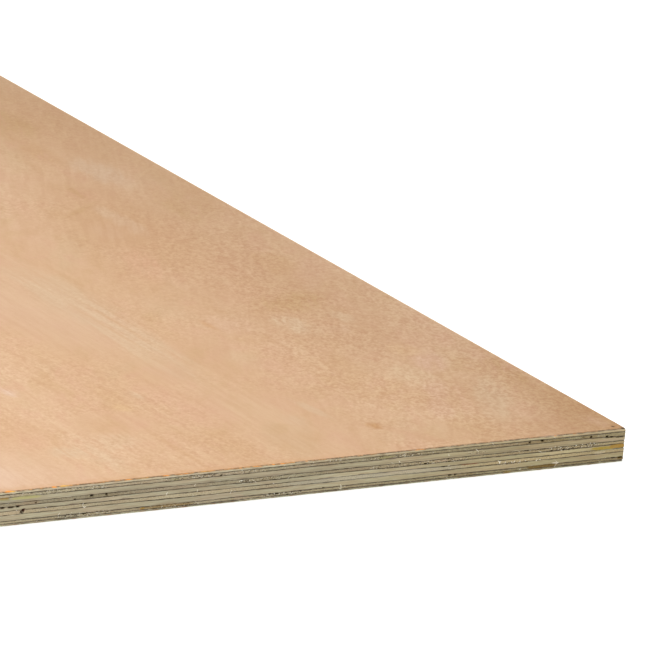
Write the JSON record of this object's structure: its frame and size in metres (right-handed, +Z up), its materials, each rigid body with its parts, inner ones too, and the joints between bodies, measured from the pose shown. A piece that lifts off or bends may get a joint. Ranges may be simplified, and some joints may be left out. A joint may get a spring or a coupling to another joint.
{
  "type": "plywood sheet",
  "caption": "Full flat plywood sheet: thin hardwood face and back over crosswise glued core veneers, with sawn square edges.",
  "frame": {"origin": "middle of the underside, on the surface that the sheet lies on", "axes": "+X across the sheet, +Y along the sheet and its face grain, +Z up out of the face veneer"},
  "size_m": [1.22, 2.44, 0.018],
  "materials": {
    "face_veneer": "lightly sanded pinkish tan hardwood, unfinished, with short fine pores along the sheet",
    "crossband": "pale grey green peeled veneer, sawn, raw",
    "long_core": "darker brown peeled veneer with open sawn end grain, raw",
    "back_veneer": "duller tan hardwood, unfinished"
  },
  "bodies": {
    "root": {"face_veneer": "face_veneer", "crossband_1": "crossband", "long_core_1": "long_core", "crossband_2": "crossband", "long_core_2_narrow_strip": "long_core", "long_core_2_wide_strip": "long_core", "crossband_3": "crossband", "long_core_3_narrow_strip": "long_core", "long_core_3_wide_strip": "long_core", "crossband_4": "crossband", "long_core_4": "long_core", "crossband_5": "crossband", "back_veneer": "back_veneer"}
  },
  "joints": []
}
